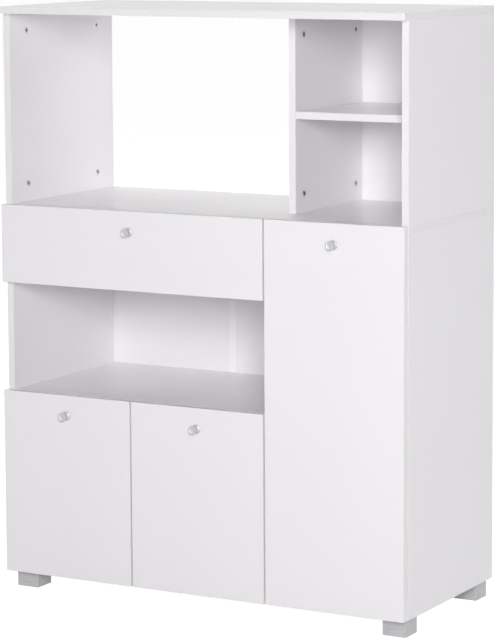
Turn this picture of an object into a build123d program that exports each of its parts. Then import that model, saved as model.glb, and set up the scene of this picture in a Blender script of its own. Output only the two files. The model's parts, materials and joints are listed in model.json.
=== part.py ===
from build123d import *
import os

# Kitchen sideboard: a base with a drawer, an open niche, two lower doors and a tall
# door, and a hutch with an open bay and two cubbies standing on its worktop.
# Units are millimetres. X runs to the right as seen from the front, Y to the back,
# Z up. The origin is the middle of the footprint on the floor, knobs included.

os.makedirs("parts", exist_ok=True)

# Driving dimensions of the whole piece
board = 16
width = 1000
carcass_depth = 430
front_gap = 4
knob_length = 18
foot_height = 40
base_height = 835
hutch_height = 440

# Driving dimensions of the fronts
seam = 4
drawer_front_height = 175
lower_door_height = 415
knob_drop = 46

# Driving dimensions of the inner boards
divider_centre = 172
divider_setback = 104
shelf_play = 1
shelf_setback = 20
tall_shelf_tops = (315, 585)

# Driving dimensions of the back sheets
sheet = 3
rear_lip = 5
groove_depth = 6
groove_play = 0.1
strip_centre = -158
strip_width = 15
strip_web = 1

# Levels and planes that follow from the driving dimensions
half_width = width / 2
inner_x = half_width - board
y_rear = (carcass_depth + front_gap + board + knob_length) / 2
y_carcass = y_rear - carcass_depth
y_front_back = y_carcass - front_gap
y_face = y_front_back - board
y_sheet = y_rear - rear_lip - sheet
z_base = foot_height
z_floor = z_base + board
z_worktop = z_base + base_height
z_under_worktop = z_worktop - board
z_top = z_worktop + hutch_height
z_under_top = z_top - board
z_niche = z_base + lower_door_height
z_drawer = z_worktop - drawer_front_height
z_drawer_bay = z_drawer + board

# Three equal fronts side by side, with a seam between neighbours
front_width = (width - 2 * seam) / 3
x_seam_left = -half_width + front_width + seam / 2
x_seam_right = x_seam_left + front_width + seam
partition_left = x_seam_right - board / 2
partition_right = x_seam_right + board / 2
divider_left = divider_centre - board / 2
divider_right = divider_centre + board / 2
divider_front = y_carcass + divider_setback

# Directions
RIGHT = Vector(1, 0, 0)
LEFT = Vector(-1, 0, 0)
BACK = Vector(0, 1, 0)
FRONT = Vector(0, -1, 0)
UP = Vector(0, 0, 1)
DOWN = Vector(0, 0, -1)


def save(builder, label):
    """Name a finished piece and write it to its own file."""
    builder.part.label = label
    export_step(builder.part, f"parts/{label}.step")


def box_between(x, y, z, mode=Mode.ADD):
    """Add or cut a box that spans the given pairs of x, y and z."""
    centre = Vector(*[(low + high) / 2 for low, high in (x, y, z)])
    spans = [abs(high - low) for low, high in (x, y, z)]
    with Locations(centre):
        Box(*spans, mode=mode)


def rod(start, direction, radius, length, mode=Mode.ADD):
    """Add or cut a round bar that starts at a point and runs along a direction."""
    with Locations(Plane(origin=start, z_dir=direction).location):
        Cylinder(radius, length, align=(Align.CENTER, Align.CENTER, Align.MIN), mode=mode)


def bore(start, direction, radius, length):
    """Cut a round hole that starts at a point and runs along a direction."""
    rod(start, direction, radius, length, mode=Mode.SUBTRACT)


# Cam and dowel joints between boards. A joint has the end board, the board that it
# meets, the point where the end's middle plane meets the other board, the direction
# towards the other board and the direction in which the cam is sunk.
cam_radius = 7.5
cam_depth = 12.5
cam_play = 0.2
cam_slot_length = 9
cam_slot_width = 1.6
cam_slot_depth = 3
hutch_cam_reach = 40
base_cam_reach = 34
bolt_radius = 2.5
bolt_thread = 11
bolt_shank_radius = 3.5
bolt_head_radius = 3
bolt_neck_radius = 2
bolt_neck = 3
bolt_head = 2
bolt_hole_radius = 4
dowel_radius = 4
dowel_in_end = 20
dowel_in_face = 10
dowel_play = 0.5

cam_joints = []
dowel_joints = []


def join(end, face, x, cam_depths, dowel_depths, z, toward, inward, reach):
    """List the cams and dowels of one board end, at depths behind the carcass front."""
    for depth in cam_depths:
        cam_joints.append((end, face, Vector(x, y_carcass + depth, z), toward, inward, reach))
    for depth in dowel_depths:
        dowel_joints.append((end, face, Vector(x, y_carcass + depth, z), toward))


# Depths of the cams and dowels behind the carcass front
hutch_side_depths = ((69, 361), (101, 329))
hutch_divider_depths = ((144, 390), (176, 358))
base_side_depths = ((140, 290), (40, 395))
partition_top_depths = ((100, 320), (40, 250))
partition_foot_depths = ((100, 320), (60, 360))
bottom_board_depths = ((100, 320), (75, 345))
upper_board_depths = ((60, 340), (100, 380))

hutch_uprights = [
    ("hutch_side_left", -half_width + board / 2, LEFT, *hutch_side_depths),
    ("hutch_side_right", half_width - board / 2, RIGHT, *hutch_side_depths),
    ("hutch_divider", divider_centre, LEFT, *hutch_divider_depths),
]
for name, x, inward, cams, dowels in hutch_uprights:
    join(name, "worktop", x, cams, dowels, z_worktop, DOWN, inward, hutch_cam_reach)
    join(name, "top_board", x, cams, dowels, z_under_top, UP, inward, hutch_cam_reach)

base_uprights = [
    ("side_left", -half_width + board / 2, LEFT, *base_side_depths),
    ("side_right", half_width - board / 2, RIGHT, *base_side_depths),
    ("partition", x_seam_right, LEFT, *partition_top_depths),
]
for name, x, inward, cams, dowels in base_uprights:
    join(name, "worktop", x, cams, dowels, z_under_worktop, UP, inward, base_cam_reach)
join("partition", "bottom_board", x_seam_right, *partition_foot_depths, z_floor, DOWN, LEFT,
     base_cam_reach)

# The lying boards of the base: name, right end and underside
lying_boards = [
    ("bottom_board", inner_x, z_base),
    ("niche_floor", partition_left, z_niche - board),
    ("drawer_shelf", partition_left, z_drawer),
]
# The upright at each lying board's right end, the cam direction and the joint depths
lying_joints = {
    "bottom_board": ("side_right", UP, *bottom_board_depths),
    "niche_floor": ("partition", UP, *upper_board_depths),
    "drawer_shelf": ("partition", DOWN, *upper_board_depths),
}
for name, x_end, z_under in lying_boards:
    neighbour, inward, cams, dowels = lying_joints[name]
    z = z_under + board / 2
    join(name, "side_left", -inner_x, cams, dowels, z, LEFT, inward, base_cam_reach)
    join(name, neighbour, x_end, cams, dowels, z, RIGHT, inward, base_cam_reach)


def drill_joints(name):
    """Cut the cam, bolt and dowel holes of one board in the board being built."""
    for end, face, point, toward, inward, reach in cam_joints:
        if name == end:
            mouth = point - toward * reach - inward * (board / 2)
            bore(mouth, inward, cam_radius, cam_depth + cam_play)
            bore(point, -toward, bolt_hole_radius, reach - cam_radius / 2)
        if name == face:
            bore(point, toward, bolt_radius, bolt_thread)
    for end, face, point, toward in dowel_joints:
        if name == end:
            bore(point, -toward, dowel_radius, dowel_in_end + dowel_play)
        if name == face:
            bore(point, toward, dowel_radius, dowel_in_face + dowel_play)


# Wood screws, all of one kind. A screw has the board that it enters, the point under
# its head and the direction in which it is driven.
screw_radius = 1.75
screw_length = 13
screw_head_radius = 3.25
screw_head_height = 1.6
carcass_screws = []
drawer_screws = []


def screw(point, direction):
    """Add one pan head wood screw."""
    rod(point - direction * screw_head_height, direction, screw_head_radius, screw_head_height)
    rod(point, direction, screw_radius, screw_length)


def drill_screws(name, screws):
    """Cut the pilot holes of one board in the board being built."""
    for owner, point, direction in screws:
        if name == owner:
            bore(point, direction, screw_radius, screw_length)


# Feet: square hollow blocks, each held by four screws from below
foot_size = 55
foot_inset = 9.5
foot_wall = 4
foot_screw_offset = 15
foot_centre_x = half_width - foot_inset - foot_size / 2
foot_front_y = y_carcass + foot_inset + foot_size / 2
foot_rear_y = y_rear - foot_inset - foot_size / 2
feet = [
    ("foot_front_left", -foot_centre_x, foot_front_y),
    ("foot_front_right", foot_centre_x, foot_front_y),
    ("foot_rear_left", -foot_centre_x, foot_rear_y),
    ("foot_rear_right", foot_centre_x, foot_rear_y),
]
for name, x, y in feet:
    for dx in (-foot_screw_offset, foot_screw_offset):
        for dy in (-foot_screw_offset, foot_screw_offset):
            head = Vector(x + dx, y + dy, z_base - foot_wall)
            carcass_screws.append(("bottom_board", head, UP))

# Hinges: a cup in the door, a pin across the cup and an arm screwed to the upright.
# u is measured from the door's hinged edge into the door, w from the carcass front
# into the cupboard, so the pin stands inside the door's thickness.
pin_u = 8
pin_w = -12
pin_radius = 1.5
pin_length = 15
pin_play = 0.05
cup_u = 21.5
cup_radius = 17.5
cup_wall = 0.5
cup_depth = 11.5
cup_flange = 1
cup_flange_radius = 20
lug_gap = 8.6
lug_width = 6
lug_outer = 2
knuckle_radius = 2.8
knuckle_width = 8
arm_strip = 2.4
arm_elbow_u, arm_elbow_w = 19, -11
arm_bend_u, arm_bend_w = 23, 2
arm_bend_radius = 3
arm_tail_w = 50
arm_block_w = (24, 50)
arm_block_width = 12
plate_thickness = 2
plate_w = (27, 47)
plate_height = 44
plate_screw_w = 37
plate_screw_offset = 16

lower_hinge_inset = 75
tall_hinge_inset = 90
lower_hinge_heights = (z_base + lower_hinge_inset, z_niche - lower_hinge_inset)
tall_hinge_heights = (z_base + tall_hinge_inset, z_worktop - tall_hinge_inset)

# Each door: name, hinged edge, direction into the door, far edge, top and hinge heights
doors = [
    ("left", -half_width, 1, x_seam_left - seam / 2, z_niche, lower_hinge_heights),
    ("middle", x_seam_right - seam / 2, -1, x_seam_left + seam / 2, z_niche, lower_hinge_heights),
    ("tall", half_width, -1, x_seam_right + seam / 2, z_worktop, tall_hinge_heights),
]
# The upright that carries each door's hinges and the face that they are screwed to
hinge_uprights = {
    "left": ("side_left", -inner_x),
    "middle": ("partition", partition_left),
    "tall": ("side_right", inner_x),
}
for door, x_edge, inward, far, top, heights in doors:
    upright, x_wall = hinge_uprights[door]
    for z in heights:
        for dz in (-plate_screw_offset, plate_screw_offset):
            head = Vector(x_wall + inward * plate_thickness, y_carcass + plate_screw_w, z + dz)
            carcass_screws.append((upright, head, Vector(-inward, 0, 0)))

# Drawer runners: a channel on each upright and an angle under each drawer side, with
# one roller on each. u is measured from the upright towards the drawer, v up from the
# channel's underside and w from the carcass front into the bay.
runner_steel = 1.2
runner_front_w = 2
runner_length = 350
runner_lift = 6
runner_z = z_drawer_bay + runner_lift
channel_height = 26
channel_floor = 10.8
channel_lip = 8
side_clearance = 12.5
drawer_side = 12
drawer_side_height = 110
drawer_side_lift = 8
drawer_side_z = runner_z + drawer_side_lift
flange_u = 3
flange_v = 22.5
roller_radius = 10
roller_u = (4, 10)
roller_bore = 2.05
axle_radius = 2
axle_shoulder = 3
axle_play = 0.2
axle_head = 0.6
front_roller_w = 18
front_roller_v = 12.4
rear_roller_w = 338
rear_roller_v = 11.3
runner_screw_w = (60, 180, 290)
runner_screw_v = 11
drawer_screw_w = (40, 170, 300)

# Each runner: name, face of the upright, direction towards the drawer and the upright
runners = [
    ("left", -inner_x, 1, "side_left"),
    ("right", partition_left, -1, "partition"),
]
for name, x_wall, inward, upright in runners:
    for w in runner_screw_w:
        head = Vector(x_wall + inward * runner_steel, y_carcass + w, runner_z + runner_screw_v)
        carcass_screws.append((upright, head, Vector(-inward, 0, 0)))
    for w in drawer_screw_w:
        x = x_wall + inward * (side_clearance + drawer_side / 2)
        head = Vector(x, y_carcass + w, drawer_side_z - runner_steel)
        drawer_screws.append(("drawer_side_" + name, head, UP))

# Shelf pins under the three loose shelves
shelf_pin_radius = 2.5
shelf_pin_sunk = 8
shelf_pin_length = 16
hutch_shelf_z = (z_worktop + z_under_top - board) / 2
shelf_rows = [
    ("partition", partition_right, "side_right", y_carcass, tall_shelf_tops[0] - board),
    ("partition", partition_right, "side_right", y_carcass, tall_shelf_tops[1] - board),
    ("hutch_divider", divider_right, "hutch_side_right", divider_front, hutch_shelf_z),
]
shelf_pin_front = 60
shelf_pin_rear = 370
shelf_pins = []
for left_board, x_left, right_board, y_start, z_shelf in shelf_rows:
    for y in (y_start + shelf_pin_front, y_carcass + shelf_pin_rear):
        z = z_shelf - shelf_pin_radius
        shelf_pins.append((left_board, Vector(x_left - shelf_pin_sunk, y, z), RIGHT))
        shelf_pins.append((right_board, Vector(inner_x + shelf_pin_sunk, y, z), LEFT))


def drill_pins(name):
    """Cut the shelf pin holes of one board in the board being built."""
    for owner, point, direction in shelf_pins:
        if name == owner:
            bore(point, direction, shelf_pin_radius, shelf_pin_sunk)


# Nails that hold the back sheets to the rear edges of the boards
nail_radius = 0.8
nail_length = 16
nail_head_radius = 2
nail_head_height = 0.8
nail_y = y_sheet + sheet
bottom_nail_x = (-400, -240, -80, 80, 250, 400)
upper_nail_x = (-400, -240, -80, 80)
partition_nail_z = (200, 330, 580, 790)
hutch_nail_x = (250, 330, 410)
nails = []
for name, z_nail, columns in [
    ("bottom_board", z_base + board / 2, bottom_nail_x),
    ("niche_floor", z_niche - board / 2, upper_nail_x),
    ("drawer_shelf", z_drawer + board / 2, upper_nail_x),
]:
    for x in columns:
        sheet_name = "back_left" if x < strip_centre else "back_right"
        nails.append((name, sheet_name, Vector(x, nail_y, z_nail)))
for z_nail in partition_nail_z:
    nails.append(("partition", "back_right", Vector(x_seam_right, nail_y, z_nail)))
for x in hutch_nail_x:
    nails.append(("hutch_shelf", "hutch_back", Vector(x, nail_y, hutch_shelf_z + board / 2)))


def drill_nails(name):
    """Cut the nail holes of one board or sheet in the piece being built."""
    for owner, sheet_name, point in nails:
        if name in (owner, sheet_name):
            bore(point, FRONT, nail_radius, nail_length)


def cut_sheet_groove(x, z):
    """Cut the groove that takes a back sheet."""
    box_between(x, (y_sheet - groove_play, nail_y + groove_play), z, mode=Mode.SUBTRACT)


def finish_board(name):
    """Cut every fastener hole of one carcass board in the board being built."""
    drill_joints(name)
    drill_screws(name, carcass_screws)
    drill_pins(name)
    drill_nails(name)


# Base uprights
for side, name in ((-1, "side_left"), (1, "side_right")):
    with BuildPart() as base_side:
        box_between((side * inner_x, side * half_width), (y_carcass, y_rear),
                    (z_base, z_under_worktop))
        cut_sheet_groove((side * inner_x, side * (inner_x + groove_depth)),
                         (z_base, z_under_worktop))
        finish_board(name)
    save(base_side, name)

with BuildPart() as partition:
    box_between((partition_left, partition_right), (y_carcass, y_sheet), (z_floor, z_under_worktop))
    finish_board("partition")
save(partition, "partition")

# Lying boards of the base, notched at the rear for the back joint strip
for name, x_end, z_under in lying_boards:
    with BuildPart() as lying_board:
        box_between((-inner_x, x_end), (y_carcass, y_sheet), (z_under, z_under + board))
        box_between((strip_centre - strip_width / 2, strip_centre + strip_width / 2),
                    (y_sheet - strip_web, y_sheet), (z_under, z_under + board),
                    mode=Mode.SUBTRACT)
        finish_board(name)
    save(lying_board, name)

with BuildPart() as worktop:
    box_between((-half_width, half_width), (y_carcass, y_rear), (z_under_worktop, z_worktop))
    cut_sheet_groove((-inner_x - groove_depth, inner_x + groove_depth),
                     (z_under_worktop, z_under_worktop + groove_depth))
    finish_board("worktop")
save(worktop, "worktop")

# Hutch boards
for side, name in ((-1, "hutch_side_left"), (1, "hutch_side_right")):
    with BuildPart() as hutch_side:
        box_between((side * inner_x, side * half_width), (y_carcass, y_rear),
                    (z_worktop, z_under_top))
        if side > 0:
            cut_sheet_groove((inner_x, inner_x + groove_depth), (z_worktop, z_under_top))
        finish_board(name)
    save(hutch_side, name)

with BuildPart() as hutch_divider:
    box_between((divider_left, divider_right), (divider_front, y_rear), (z_worktop, z_under_top))
    cut_sheet_groove((divider_right - groove_depth, divider_right), (z_worktop, z_under_top))
    finish_board("hutch_divider")
save(hutch_divider, "hutch_divider")

with BuildPart() as top_board:
    box_between((-half_width, half_width), (y_face, y_rear), (z_under_top, z_top))
    cut_sheet_groove((divider_right - groove_depth, inner_x + groove_depth),
                     (z_under_top, z_under_top + groove_depth))
    finish_board("top_board")
save(top_board, "top_board")

with BuildPart() as hutch_shelf:
    box_between((divider_right + shelf_play, inner_x - shelf_play), (divider_front, y_sheet),
                (hutch_shelf_z, hutch_shelf_z + board))
    finish_board("hutch_shelf")
save(hutch_shelf, "hutch_shelf")

# Loose shelves of the tall cupboard
for name, z_shelf_top in zip(("tall_shelf_lower", "tall_shelf_upper"), tall_shelf_tops):
    with BuildPart() as tall_shelf:
        box_between((partition_right + shelf_play, inner_x - shelf_play),
                    (y_carcass + shelf_setback, y_sheet - shelf_play),
                    (z_shelf_top - board, z_shelf_top))
    save(tall_shelf, name)

# Back sheets, with a joint strip between the two sheets of the base
sheet_edge = inner_x + groove_depth - groove_play
sheet_top = z_under_worktop + groove_depth - groove_play
back_sheets = [
    ("back_left", -sheet_edge, strip_centre - strip_web / 2, z_base, sheet_top),
    ("back_right", strip_centre + strip_web / 2, sheet_edge, z_base, sheet_top),
    ("hutch_back", divider_right - groove_depth + groove_play, sheet_edge, z_worktop,
     z_under_top + groove_depth - groove_play),
]
for name, x_low, x_high, z_low, z_high in back_sheets:
    with BuildPart() as back_sheet:
        box_between((x_low, x_high), (y_sheet, nail_y), (z_low, z_high))
        drill_nails(name)
    save(back_sheet, name)

with BuildPart() as back_strip:
    strip_x = (strip_centre - strip_width / 2, strip_centre + strip_width / 2)
    strip_z = (z_base, z_under_worktop)
    box_between(strip_x, (y_sheet - strip_web, y_sheet), strip_z)
    box_between(strip_x, (nail_y, nail_y + strip_web), strip_z)
    box_between((strip_centre - strip_web / 2, strip_centre + strip_web / 2),
                (y_sheet - strip_web / 2, nail_y + strip_web / 2), strip_z)
save(back_strip, "back_strip")

# Feet, open at the bottom
foot_round = 1.5
for name, x, y in feet:
    with BuildPart() as foot:
        with BuildSketch(Plane.XY):
            with Locations((x, y)):
                RectangleRounded(foot_size, foot_size, foot_round)
        extrude(amount=foot_height)
        with BuildSketch(Plane.XY):
            with Locations((x, y)):
                Rectangle(foot_size - 2 * foot_wall, foot_size - 2 * foot_wall)
        extrude(amount=foot_height - foot_wall, mode=Mode.SUBTRACT)
        for dx in (-foot_screw_offset, foot_screw_offset):
            for dy in (-foot_screw_offset, foot_screw_offset):
                bore((x + dx, y + dy, z_base - foot_wall), UP, screw_radius, foot_wall)
    save(foot, name)

# Knobs, turned, each held by a machine screw through the front
knob_base_radius = 10.5
knob_waist_radius = 5.5
knob_face_radius = 10
knob_dish_radius = 6.5
knob_base = 2
knob_cone = 5
knob_face = 4.5
knob_dish = 1
knob_edge = 0.6
knob_screw_radius = 2
knob_screw_sunk = 9
knob_hole_radius = 2.25
knob_screw_head_radius = 4
knob_screw_head = 2.4
knobs = [
    ("drawer", (-half_width + x_seam_right - seam / 2) / 2, z_worktop - knob_drop),
    ("left", -half_width + front_width / 2, z_niche - knob_drop),
    ("middle", 0, z_niche - knob_drop),
    ("tall", half_width - front_width / 2, z_worktop - knob_drop),
]


def drill_knob(name):
    """Cut the knob screw's hole through the front being built."""
    for owner, x, z in knobs:
        if owner == name:
            bore((x, y_face, z), BACK, knob_hole_radius, board)


for name, x, z in knobs:
    foot_point = Vector(x, y_face, z)
    with BuildPart() as knob:
        with BuildSketch(Plane(origin=foot_point, x_dir=RIGHT, z_dir=UP)):
            with BuildLine():
                Polyline(
                    (0, 0),
                    (knob_base_radius, 0),
                    (knob_base_radius, -knob_base),
                    (knob_waist_radius, -knob_base - knob_cone),
                    (knob_waist_radius, -knob_length + knob_face + knob_edge),
                    (knob_face_radius, -knob_length + knob_face),
                    (knob_face_radius, -knob_length + knob_edge),
                    (knob_face_radius - knob_edge, -knob_length),
                    (knob_dish_radius, -knob_length),
                    (knob_dish_radius - knob_dish, -knob_length + knob_dish),
                    (0, -knob_length + knob_dish),
                    close=True,
                )
            make_face()
        revolve(axis=Axis(foot_point, BACK))
        bore(foot_point, FRONT, knob_screw_radius, knob_screw_sunk)
    save(knob, "knob_" + name)

    with BuildPart() as knob_screw:
        rod((x, y_front_back, z), BACK, knob_screw_head_radius, knob_screw_head)
        rod((x, y_front_back, z), FRONT, knob_screw_radius, board + knob_screw_sunk)
    save(knob_screw, "knob_screw_" + name)

# Doors, each with two cup holes
for door, x_edge, inward, far, top, heights in doors:
    with BuildPart() as door_panel:
        box_between((x_edge, far), (y_face, y_front_back), (z_base, top))
        for z in heights:
            bore((x_edge + inward * cup_u, y_front_back, z), FRONT, cup_radius, cup_depth)
        drill_knob(door)
    save(door_panel, "door_" + door)

# Hinge cups, pins and arms
for door, x_edge, inward, far, top, heights in doors:
    x_pin = x_edge + inward * pin_u
    x_cup = x_edge + inward * cup_u
    y_pin = y_carcass + pin_w

    with BuildPart() as cups:
        for z in heights:
            centre = Vector(x_cup, y_front_back, z)
            rod(centre, FRONT, cup_radius, cup_depth)
            rod(centre, BACK, cup_flange_radius, cup_flange)
        for z in heights:
            centre = Vector(x_cup, y_front_back + cup_flange, z)
            bore(centre, FRONT, cup_radius - cup_wall, cup_flange + cup_depth - cup_wall)
            for dz in (-1, 1):
                lug_z = (z + dz * lug_gap / 2, z + dz * pin_length / 2)
                box_between((x_pin - inward * lug_outer, x_pin + inward * lug_width / 2),
                            (y_front_back - cup_depth + cup_wall, y_pin + lug_width / 2), lug_z)
        for z in heights:
            bore((x_pin, y_pin, z - pin_length / 2), UP, pin_radius, pin_length)
    save(cups, "hinge_cups_" + door)

    with BuildPart() as pins:
        for z in heights:
            rod((x_pin, y_pin, z - pin_length / 2), UP, pin_radius, pin_length)
    save(pins, "hinge_pins_" + door)

with BuildPart() as arms:
    for door, x_edge, inward, far, top, heights in doors:
        x_wall = hinge_uprights[door][1]
        x_pin = x_edge + inward * pin_u
        y_pin = y_carcass + pin_w
        x_elbow = x_edge + inward * arm_elbow_u
        x_bend = x_edge + inward * arm_bend_u
        for z in heights:
            with BuildSketch(Plane.XY.offset(z - knuckle_width / 2)):
                with BuildLine():
                    FilletPolyline(
                        (x_pin, y_pin),
                        (x_elbow, y_carcass + arm_elbow_w),
                        (x_bend, y_carcass + arm_bend_w),
                        (x_bend, y_carcass + arm_tail_w),
                        radius=arm_bend_radius,
                    )
                trace(line_width=arm_strip)
                with Locations((x_pin, y_pin)):
                    Circle(knuckle_radius)
            extrude(amount=knuckle_width)
            box_between((x_wall + inward * plate_thickness / 2, x_bend + inward * arm_strip / 2),
                        (y_carcass + arm_block_w[0], y_carcass + arm_block_w[1]),
                        (z - arm_block_width / 2, z + arm_block_width / 2))
            box_between((x_wall, x_wall + inward * plate_thickness),
                        (y_carcass + plate_w[0], y_carcass + plate_w[1]),
                        (z - plate_height / 2, z + plate_height / 2))
            bore((x_pin, y_pin, z - knuckle_width / 2), UP, pin_radius + pin_play, knuckle_width)
            for dz in (-plate_screw_offset, plate_screw_offset):
                bore((x_wall, y_carcass + plate_screw_w, z + dz), Vector(inward, 0, 0),
                     screw_radius, plate_thickness)
save(arms, "hinge_arms")

# Drawer: the sides are housed in the front and the back sheet slides in from behind
housing_depth = 6
drawer_back = 12
drawer_back_inset = 12
drawer_bottom_lift = 8
drawer_bottom_inset = 6
drawer_groove_depth = 4
drawer_bottom_z = drawer_side_z + drawer_bottom_lift
y_drawer_rear = y_carcass + runner_front_w + runner_length
drawer_back_y = (y_drawer_rear - drawer_back_inset - drawer_back,
                 y_drawer_rear - drawer_back_inset)
drawer_left = -inner_x + side_clearance
drawer_right = partition_left - side_clearance
drawer_side_top = drawer_side_z + drawer_side_height
drawer_bottom_span = (drawer_left + drawer_side - drawer_groove_depth,
                      drawer_right - drawer_side + drawer_groove_depth)

with BuildPart() as drawer_front:
    box_between((-half_width, x_seam_right - seam / 2), (y_face, y_front_back),
                (z_drawer, z_worktop))
    for x_low in (drawer_left, drawer_right - drawer_side):
        box_between((x_low, x_low + drawer_side), (y_front_back - housing_depth, y_front_back),
                    (drawer_side_z, drawer_side_top), mode=Mode.SUBTRACT)
    box_between(drawer_bottom_span, (y_front_back - housing_depth, y_front_back),
                (drawer_bottom_z, drawer_bottom_z + sheet), mode=Mode.SUBTRACT)
    drill_knob("drawer")
save(drawer_front, "drawer_front")

for name, x_low in (("left", drawer_left), ("right", drawer_right - drawer_side)):
    with BuildPart() as drawer_side_panel:
        box_between((x_low, x_low + drawer_side), (y_front_back - housing_depth, y_drawer_rear),
                    (drawer_side_z, drawer_side_top))
        box_between(drawer_bottom_span, (y_front_back - housing_depth, y_drawer_rear),
                    (drawer_bottom_z, drawer_bottom_z + sheet), mode=Mode.SUBTRACT)
        box_between(drawer_bottom_span, drawer_back_y,
                    (drawer_bottom_z + sheet, drawer_side_top), mode=Mode.SUBTRACT)
        drill_screws("drawer_side_" + name, drawer_screws)
    save(drawer_side_panel, "drawer_side_" + name)

with BuildPart() as drawer_back_panel:
    box_between(drawer_bottom_span, drawer_back_y,
                (drawer_bottom_z + sheet, drawer_side_top))
save(drawer_back_panel, "drawer_back")

with BuildPart() as drawer_bottom:
    box_between(drawer_bottom_span,
                (y_front_back - housing_depth, y_drawer_rear - drawer_bottom_inset),
                (drawer_bottom_z, drawer_bottom_z + sheet))
save(drawer_bottom, "drawer_bottom")

# Runners and rollers
runner_y = (y_carcass + runner_front_w, y_carcass + runner_front_w + runner_length)
flange_z = runner_z + flange_v
for name, x_wall, inward, upright in runners:
    towards = Vector(inward, 0, 0)

    def at(u):
        """Give the x of a distance from the upright."""
        return x_wall + inward * u

    with BuildPart() as cabinet_runner:
        box_between((at(0), at(runner_steel)), runner_y, (runner_z, runner_z + channel_height))
        box_between((at(0), at(channel_floor)), runner_y, (runner_z, runner_z + runner_steel))
        box_between((at(0), at(channel_lip)), runner_y,
                    (runner_z + channel_height - runner_steel, runner_z + channel_height))
        axle = Vector(at(runner_steel / 2), y_carcass + front_roller_w, runner_z + front_roller_v)
        rod(axle, towards, axle_shoulder, roller_u[0] - axle_play - runner_steel / 2)
        rod(axle, towards, axle_radius, channel_floor - runner_steel / 2)
        rod(axle + towards * (channel_floor - axle_head - runner_steel / 2), towards,
            axle_shoulder, axle_head)
        for w in runner_screw_w:
            bore((at(0), y_carcass + w, runner_z + runner_screw_v), towards, screw_radius,
                 runner_steel)
    save(cabinet_runner, "cabinet_runner_" + name)

    with BuildPart() as drawer_runner:
        box_between((at(side_clearance - runner_steel), at(side_clearance)), runner_y,
                    (drawer_side_z - runner_steel, flange_z + runner_steel))
        box_between((at(side_clearance - runner_steel), at(side_clearance + drawer_side)), runner_y,
                    (drawer_side_z - runner_steel, drawer_side_z))
        box_between((at(flange_u), at(side_clearance)), runner_y,
                    (flange_z, flange_z + runner_steel))
        axle = Vector(at(side_clearance - runner_steel / 2), y_carcass + rear_roller_w,
                      runner_z + rear_roller_v)
        axle_length = side_clearance - runner_steel / 2 - flange_u - axle_play
        rod(axle, -towards, axle_shoulder,
            side_clearance - runner_steel / 2 - roller_u[1] - axle_play)
        rod(axle, -towards, axle_radius, axle_length)
        rod(axle - towards * (axle_length - axle_head), -towards, axle_shoulder, axle_head)
        for w in drawer_screw_w:
            bore((at(side_clearance + drawer_side / 2), y_carcass + w,
                  drawer_side_z - runner_steel), UP, screw_radius, runner_steel)
    save(drawer_runner, "drawer_runner_" + name)

    for place, w, v in (("front", front_roller_w, front_roller_v),
                        ("rear", rear_roller_w, rear_roller_v)):
        with BuildPart() as roller:
            hub = Vector(at(roller_u[0]), y_carcass + w, runner_z + v)
            rod(hub, towards, roller_radius, roller_u[1] - roller_u[0])
            bore(hub, towards, roller_bore, roller_u[1] - roller_u[0])
        save(roller, f"roller_{place}_{name}")

# Fasteners
with BuildPart() as carcass_screw_set:
    for owner, point, direction in carcass_screws:
        screw(point, direction)
save(carcass_screw_set, "carcass_screws")

with BuildPart() as drawer_screw_set:
    for owner, point, direction in drawer_screws:
        screw(point, direction)
save(drawer_screw_set, "drawer_screws")

with BuildPart() as cam_locks:
    for end, face, point, toward, inward, reach in cam_joints:
        mouth = point - toward * reach - inward * (board / 2)
        rod(mouth, inward, cam_radius, cam_depth)
        cross = Plane(origin=mouth, x_dir=toward, z_dir=inward)
        with BuildSketch(cross):
            Rectangle(cam_slot_length, cam_slot_width)
            Rectangle(cam_slot_width, cam_slot_length)
        extrude(amount=cam_slot_depth, mode=Mode.SUBTRACT)
        bore(mouth + inward * (board / 2), toward, bolt_hole_radius, cam_radius)
save(cam_locks, "cam_locks")

with BuildPart() as cam_bolts:
    for end, face, point, toward, inward, reach in cam_joints:
        shank = reach - cam_radius
        rod(point, toward, bolt_radius, bolt_thread)
        rod(point, -toward, bolt_shank_radius, shank)
        rod(point - toward * shank, -toward, bolt_neck_radius, bolt_neck)
        rod(point - toward * (shank + bolt_neck), -toward, bolt_head_radius, bolt_head)
save(cam_bolts, "cam_bolts")

with BuildPart() as dowels:
    for end, face, point, toward in dowel_joints:
        rod(point - toward * dowel_in_end, toward, dowel_radius, dowel_in_end + dowel_in_face)
save(dowels, "dowels")

with BuildPart() as shelf_pin_set:
    for owner, point, direction in shelf_pins:
        rod(point, direction, shelf_pin_radius, shelf_pin_length)
save(shelf_pin_set, "shelf_pins")

with BuildPart() as back_nails:
    for owner, sheet_name, point in nails:
        rod(point, BACK, nail_head_radius, nail_head_height)
        rod(point, FRONT, nail_radius, nail_length)
save(back_nails, "back_nails")
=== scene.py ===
# %% [markdown]
# # A white kitchen sideboard
# The sideboard's solids are already in place, in metres: X to the right, Y to the
# back, Z up, with the floor at zero. This lesson gives them their real surfaces and
# replaces the plainest solids with pieces that have edges, recesses and turned shapes.

# %% Load the solids
import json
import math

import bmesh
import bpy
from mathutils import Matrix, Vector


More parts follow.
